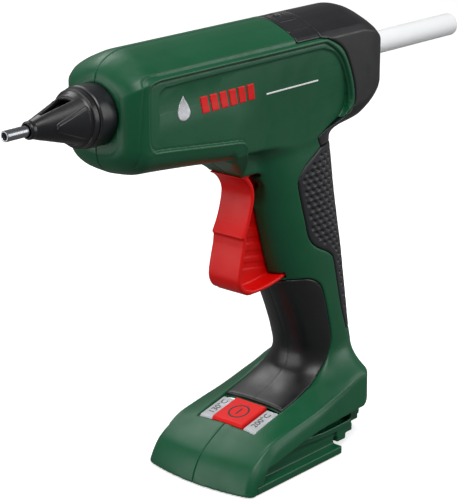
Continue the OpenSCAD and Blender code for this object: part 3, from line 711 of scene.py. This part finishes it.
def grip_back():
    """The rear grip, with dents in staggered rows round it."""
    g = Grid(158, 216, 18.6, -136, -35.6, 0.42)
    b = body(g, False)
    middle = np.interp(g.z, LEVELS[:, 0], (LEVELS[:, 1] + LEVELS[:, 2]) / 2).astype(np.float32)
    around = np.arctan2(g.Y / 17, (g.T - middle[None, None, :]) / 24.0) * 19.0
    pitch, rise = 3.5, 3.0
    row = np.floor(g.Z / rise)
    u = around / pitch + 0.5 * np.mod(row, 2)
    u = (u - np.round(u)) * pitch
    v = g.Z - (row + 0.5) * rise
    dent = np.sqrt(u ** 2 + (v * 1.05) ** 2)
    inner = g.flat(outline(GRIP_REAR, g.T2, g.Z2))
    depth = 0.85 * (1 - step(dent, 0.45, 1.3)) * (1 - step(inner, -3.4, -2.4))
    f = smax(b + depth, inner + GAP, 0.9)
    f = smax(f, GAP - g.flat(outline(CAP, g.T2, g.Z2)), 0.6)
    f = np.maximum(f, -(b + SKIN))
    dress(g.mesh("grip_back", f, keep=KEEP), GRIP, stands_for=["grip_rear"])


def grip_palm():
    g = Grid(146, 189, 25, -161.6, -95, 0.48)
    b = body(g, False)
    f = smax(b, np.maximum(g.flat(outline(GRIP_FRONT, g.T2, g.Z2)), palm_side(g)) + GAP, 0.9)
    f = np.maximum(f, -(b + SKIN))
    f = f + 0.22 * np.exp(-(g.Y / 0.3) ** 2) * (1 - step(g.T, 176, 180))
    f = smax(f, -slots(g), 0.6)
    dress(g.mesh("grip_palm", f, keep=KEEP), GRIP_SMOOTH, stands_for=["grip_front"])


rear_cover()
band()
grip_back()
grip_palm()

# ---------------------------------------------------------------- trigger

PLATE = curve([(129, -42.4), (133, -45.2), (136.1, -49.6), (136.5, -54.6), (133.9, -63.5),
               (130.2, -70.6)], 4) + [(131.3, -71.8)] + curve(
    [(130.9, -75.6), (128.1, -87), (128.2, -92.2), (131, -96.4), (136.8, -98.6)], 4) + [
    (137.6, -96.5)] + curve([(133, -94.6), (130.5, -91.4), (130.4, -87), (132.9, -76.4), (133.4, -70)],
                             4) + curve(
    [(136.2, -63.5), (138.7, -54.8), (138.3, -48.6), (135.6, -44.2), (133.6, -42.3)], 4)
TRIGGER_TOP = [(128.9, -42.5), (131, -42), (131.2, -38.6), (146, -35.4), (146, -39.6), (134, -43.4)]
WEB = [(134, -42), (137, -28), (147, -28), (161, -90), (159, -96.5), (137, -97.3), (130.5, -92), (131.4, -76),
       (134, -68), (138.4, -54), (138, -48), (133.5, -42)]
HUB = [(143, -25), (135, -25), (132, -38), (146, -38)]
# The trunnion of the carriage that the arms' forks push, as its distance from the pivot and half width.
FORK_REACH = 26.92
FORK_R = 2.7


def trigger():
    g = Grid(123, 166.5, 14.2, -101.5, 6.2, 0.42)
    t, z = g.T2, g.Z2
    f = smin(g.flat(outline(PLATE, t, z)), g.flat(outline(TRIGGER_TOP, t, z)), 1.0)
    f = smin(f, g.flat(outline(arc(LIP_R - 2, LIP_R, -95.5, -72), t, z)), 0.8)
    f = smax(f, g.Y - BLADE, 1.1)
    ribs = np.zeros((len(g.t), len(g.z)), np.float32)
    for z0 in (-71, -78.5, -85, -90.5):
        line = z - (z0 + 0.16 * (150 - t))
        ribs = ribs + 0.28 * step(line, -0.25, 0.25) - 0.28 * step(line, 2.6, 3.2)
    f_web = np.maximum(g.flat(outline(WEB, t, z)), g.Y - 1.45 + g.flat(ribs.astype(np.float32)))
    f = smin(f, f_web, 1.2)
    f = smin(f, np.maximum(disc(g, PIVOT, 4.6), g.Y - 13.2), 0.5)
    f = smin(f, np.maximum(g.flat(outline(HUB, t, z)), g.Y - 8), 1.0)
    lean = math.radians(7)
    ca, sa = math.cos(lean), math.sin(lean)
    dt, dz = t - PIVOT[0], z - PIVOT[1]
    along, across = dt * sa + dz * ca, dt * ca - dz * sa
    arm = np.maximum(np.abs(across) - 4.6, np.maximum(-along, along - 31.5))
    f = smin(f, np.maximum(g.flat(arm.astype(np.float32)), np.maximum(10 - g.Y, g.Y - 13.2)), 0.4)
    fork = np.maximum(np.abs(across) - FORK_R, FORK_REACH - along)
    fork = np.minimum(fork, np.sqrt(across ** 2 + (along - FORK_REACH) ** 2) - FORK_R)
    f = np.maximum(f, -np.maximum(g.flat(fork.astype(np.float32)), 9 - g.Y))
    f = np.maximum(f, -disc(g, PIVOT, 2.1))
    dress(g.mesh("squeeze_trigger", f, keep=KEEP), RED, "trigger", ["trigger"])


trigger()

# ---------------------------------------------------------------- nozzle, cone, collar and stick


def lathe(name, profile, material, body="housing", stands_for=(), n=96):
    """Turns a profile of distance behind the tip and radius round the barrel's axis."""
    profile = np.array(profile, float)
    ang = np.linspace(0, 2 * math.pi, n, endpoint=False)
    rings = [np.stack([np.full(n, t), r * np.cos(ang), r * np.sin(ang)], -1) for t, r in profile]
    pts = np.concatenate(rings)
    k = np.arange(n)
    faces = []
    for i in range(len(profile) - 1):
        a, b = i * n, (i + 1) * n
        faces.append(np.stack([a + k, a + (k + 1) % n, b + (k + 1) % n, b + k], -1))
    o = make_mesh(name, to_row(pts[:, 0], pts[:, 1], pts[:, 2]), np.zeros((0, 3), int), np.concatenate(faces))
    bm = bmesh.new()
    bm.from_mesh(o.data)
    bmesh.ops.remove_doubles(bm, verts=bm.verts, dist=1e-7)
    bmesh.ops.dissolve_degenerate(bm, dist=1e-8, edges=bm.edges)
    bmesh.ops.recalc_face_normals(bm, faces=bm.faces)
    bm.to_mesh(o.data)
    bm.free()
    o.data.polygons.foreach_set("use_smooth", np.ones(len(o.data.polygons), bool))
    o.data.set_sharp_from_angle(angle=math.radians(35))
    return dress(o, material, body, stands_for)


TUBE = [(0.35, 1.45), (0.05, 1.6), (0, 1.75), (0.05, 2.05), (0.3, 2.3), (11.3, 2.3), (11.4, 2.15), (15.8, 2.15),
        (24, 4.8), (34, 4.8), (34, 6), (40, 6), (40, 3.85), (57.5, 3.85), (57.5, 1.45), (0.35, 1.45)]
COLLAR = [(41, 9.4), (40.5, 9.7), (40.2, 10.1), (40.2, 12.3), (40.35, 12.7), (40.8, 13), (41.3, 13.05),
          (46.4, 13.05), (46.6, 12.85), (49.2, 12.8), (49.2, 12), (53, 12), (53, 9.5), (41, 9.4)]
CONE = [(11.6, 2.6), (11.6, 3.2), (12.3, 3.75), (13.6, 3.8), (14.0, 3.7), (36.4, 10.8), (37.3, 11.4),
        (37.4, 12.2), (39.9, 12.3), (39.9, 10.6), (36, 8.6), (16, 2.7), (13.6, 2.5)]
STICK = [(99.2, 0), (99.2, 5.2), (99.5, 5.5), (298.7, 5.5), (299.1, 5.3), (299.2, 5.0), (299.2, 0)]


def heat_cone():
    """The cone, with a raised pad at each side and a slotted recess above and below."""
    g = Grid(10.8, 40.8, 13.2, -13.2, 13.2, 0.22)
    radius = np.sqrt(g.Y ** 2 + g.Z ** 2)
    f = outline(CONE, g.T, radius)
    angle = np.abs(np.arctan2(np.broadcast_to(g.Z, radius.shape), np.broadcast_to(g.Y, radius.shape)))
    a = angle * radius
    pad = np.sqrt(np.maximum(a + 0.4 - 0.42 * (g.T - 21), 0) ** 2 + np.maximum(23.2 - g.T, 0) ** 2) - 1.2
    f = f - 1.05 * (1 - step(pad, -0.45, 0.35)) * (1 - step(g.T, 35.6, 36.6))
    a = (math.pi / 2 - angle) * radius
    dent = np.maximum(a - 0.9 - 0.2 * (g.T - 19), np.maximum(19 - g.T, g.T - 33.8))
    f = f + 1.3 * (1 - step(dent, -0.5, 0.3))
    f = smax(f, -np.maximum(a - 2.4, np.abs(g.T - 32.4) - 1.4), 0.3)
    f = smax(f, -axial(g, 2.6), 0.4)
    dress(g.mesh("heat_cone", f), BLACK, stands_for=["nozzle_cover"])


lathe("tip_tube", TUBE, STEEL, stands_for=["nozzle"])
lathe("collar_ring", COLLAR, BLACK, stands_for=["nozzle_collar"], n=128)
heat_cone()
lathe("stick", STICK, GLUE, "stick", ["glue_stick"], n=64)

# ---------------------------------------------------------------- button, windows, rails

KEY = [(129.85, -161.2), (130.9, -160.1), (147.6, -156.5), (148.4, -157.2), (148.4, -161), (129.85, -164)]
PANE = [(129.75, -162.6), (131.2, -161.4), (147.4, -157.9), (148.4, -158.8), (148.4, -162.5), (129.75, -165.4)]
MARK_T = 138.8
STEM_T = 139


def key_and_windows():
    """The power button with its printed ring and bar, and a clear window at each side of it."""
    g = Grid(128.6, 150.4, 18.2, -167, -153.6, 0.22)
    f = smax(g.flat(outline(KEY, g.T2, g.Z2)), g.Y - 9.1, 0.7)
    ring = np.sqrt((g.T - MARK_T) ** 2 + g.Y ** 2)
    lines = np.minimum(np.abs(ring - 4.7) - 0.45, np.maximum(np.abs(g.T - MARK_T) - 2.5, g.Y - 0.45))
    top = g.Z - (-160.1 + (g.T - 130.9) * 3.6 / 16.7)
    mark = np.maximum(np.maximum(lines, top - 0.16), -0.3 - top)
    stem = np.maximum(np.maximum(np.abs(g.T - STEM_T) - 1.95, g.Y - 1.95), -164.4 - g.Z)
    f = np.minimum(f, np.maximum(stem, g.Z + 160))
    dress(g.mesh("power_key", f), RED, "button", ["power_button"])
    dress(g.mesh("power_mark", mark), PRINT, "button")
    f = g.flat(outline(PANE, g.T2, g.Z2))
    f = smax(f, np.maximum(9.45 - g.S, g.S - 16.95), 0.9)
    for side in ("left", "right"):
        pane = g.mesh("window_" + side, f, side)
        dress(pane, LENS, stands_for=["lens_" + side])


def lettering(name, words, size, t, y, z, tilt):
    """Flat numerals that face up and read from the front."""
    data = bpy.data.curves.new(name, "FONT")
    data.body = words
    data.size = size / 1000
    data.align_x = "CENTER"
    data.align_y = "CENTER"
    data.extrude = 0.00005
    o = bpy.data.objects.new(name, data)
    bpy.context.scene.collection.objects.link(o)
    along = Vector((-math.cos(tilt), 0, math.sin(tilt)))
    across = Vector((0, -1, 0))
    m = Matrix((along, across, along.cross(across))).transposed().to_4x4()
    m.translation = Vector(to_row(np.float64(t), np.float64(y), np.float64(z)))
    dg = bpy.context.evaluated_depsgraph_get()
    mesh = bpy.data.meshes.new_from_object(o.evaluated_get(dg))
    bpy.data.objects.remove(o)
    mesh.transform(m)
    o = bpy.data.objects.new(name, mesh)
    bpy.context.scene.collection.objects.link(o)
    return dress(o, PRINT)


def block(g, t0, t1, y0, y1, z0, z1):
    """A box in t, |y| and the height above the rest face."""
    q = [np.abs(g.T - (t0 + t1) / 2) - (t1 - t0) / 2, np.abs(g.Y - (y0 + y1) / 2) - (y1 - y0) / 2,
         np.abs(g.Z + AXIS - (z0 + z1) / 2) - (z1 - z0) / 2]
    return np.maximum(np.maximum(q[0], q[1]), q[2])


def rail_plate():
    g = Grid(113.6, 204.2, 32.6, -184, -171.6, 0.55)
    f = block(g, 114.85, 179, -26.3, 26.3, 6.8, 10.4)
    for sizes in ((114.85, 177, 22, 31.6, 0, 3.8), (114.85, 177, 22, 26.4, 3, 7.5),
                  (178, 203, -21, 21, 6.8, 10.4), (178, 190, -27.4, 27.4, 6.8, 10.4),
                  (178.5, 185, 21.5, 27.5, 4.1, 7.2)):
        f = smin(f, block(g, *sizes), 0.5)
    f = smax(f, -block(g, 135.8, 164.2, -14.2, 14.2, 4, 14), 0.4)
    dress(g.mesh("rail_plate", f, keep=KEEP), GREEN, stands_for=["battery_guide"])


key_and_windows()
slope = math.atan2(3.5, 16.2)
for y, words in ((-13.1, "130°C"), (13.1, "200°C")):
    lettering("numerals_" + words[:3], words, 4.6, 139.4, y, -159.58, slope)
rail_plate()

# ---------------------------------------------------------------- marks on the sides

DROP = curve([(80.2, 5.0), (77.6, 1.2), (76.2, -2.0), (77.3, -4.6), (80.2, -5.6), (83.1, -4.6), (84.2, -2.0),
              (82.8, 1.2), (80.2, 5.0)], 4)[:-1]


def patch(name, shape, material, side):
    """A flat raised mark on the pocket's floor, from a closed outline in t and z."""
    lo, hi = np.min(shape, 0), np.max(shape, 0)
    g = Grid(lo[0] - 1, hi[0] + 1, 22.6, lo[1] - 1, hi[1] + 1, 0.25, y0=18.0)
    big = body(g)
    f = np.maximum(big - 0.28, -(big + 0.35))
    f = smax(f, g.flat(outline(shape, g.T2, g.Z2)), 0.25)
    return dress(g.mesh(name, f, side), material)


def bar_shape(t0, t1, z0, z1, lean):
    return [(t0, z0), (t1, z0), (t1 + lean, z1), (t0 + lean, z1)]


for side in ("left", "right"):
    # A plain drop, then a row of slanted bars, then a thin line.
    patch("mark_drop_" + side, DROP, SILVER, side)
    for i in range(6):
        t0 = 91.5 + 6.0 * i
        patch("mark_bar_%d_%s" % (i, side), bar_shape(t0, t0 + 4.6, -4.6, 2.6, -1.2), RED, side)
    patch("mark_line_" + side, bar_shape(134, 170, -4.4, -3.5, 0), WHITE_MARK, side)

# ---------------------------------------------------------------- floor, light and camera

scene = bpy.context.scene


def pale(name, colour):
    n = Nodes(name)
    shade = tuple(c * 0.97 for c in colour)
    n.put(n.bsdf.inputs["Base Color"], n.mix(n.range(n.noise(4, 2), 0, 0.2), colour, shade))
    n.bsdf.inputs["Roughness"].default_value = 0.9
    n.bsdf.inputs["Emission Color"].default_value = (1, 1, 1, 1)
    n.bsdf.inputs["Emission Strength"].default_value = 0.55
    return n.mat


def lamp(name, where, target, size, power):
    """A square studio lamp at a place, turned to its target."""
    d = bpy.data.lights.new(name, "AREA")
    d.energy = power
    d.size = size
    o = bpy.data.objects.new(name, d)
    scene.collection.objects.link(o)
    o.location = where
    o.visible_camera = False
    o.rotation_euler = (Vector(target) - Vector(where)).to_track_quat("-Z", "Y").to_euler()


# The floor lights nothing and isn't mirrored, so that it doesn't wash out the colours.
bpy.ops.mesh.primitive_plane_add(size=14, location=(0, 0, -0.0006))
floor = bpy.context.object
floor.name = "floor"
floor.data.materials.append(pale("floor_white", (0.82, 0.82, 0.82, 1)))
floor.visible_glossy = False
floor.visible_diffuse = False

world = bpy.data.worlds.new("studio")
scene.world = world
world.use_nodes = True
background = world.node_tree.nodes["Background"]
background.inputs["Color"].default_value = (1, 1, 1, 1)
background.inputs["Strength"].default_value = 0.2

lamp("key", (0.35, 0.6, 1.15), (0, 0, 0.12), 0.7, 11)
lamp("far_top", (-0.15, -0.9, 1.2), (0, 0, 0.1), 0.9, 9)
lamp("front", (1.15, -0.5, 0.24), (0, 0, 0.16), 1.1, 9.5)
lamp("rear_side", (-0.5, 0.5, 0.36), (0, 0, 0.13), 0.5, 2.2)

cam = bpy.data.cameras.new("camera")
cam.sensor_width = 36
cam.lens = 133.8
cam.clip_end = 50
cam_obj = bpy.data.objects.new("camera", cam)
scene.collection.objects.link(cam_obj)
right = Vector((-0.6563, 0.7545, 0)).normalized()
ahead = Vector((-0.7178, -0.6244, -0.3078)).normalized()
up = right.cross(ahead).normalized()
m = Matrix((right, up, -ahead)).transposed().to_4x4()
m.translation = Vector((0.6160, 0.5201, 0.3618))
cam_obj.matrix_world = m
scene.camera = cam_obj

scene.view_settings.view_transform = "Standard"
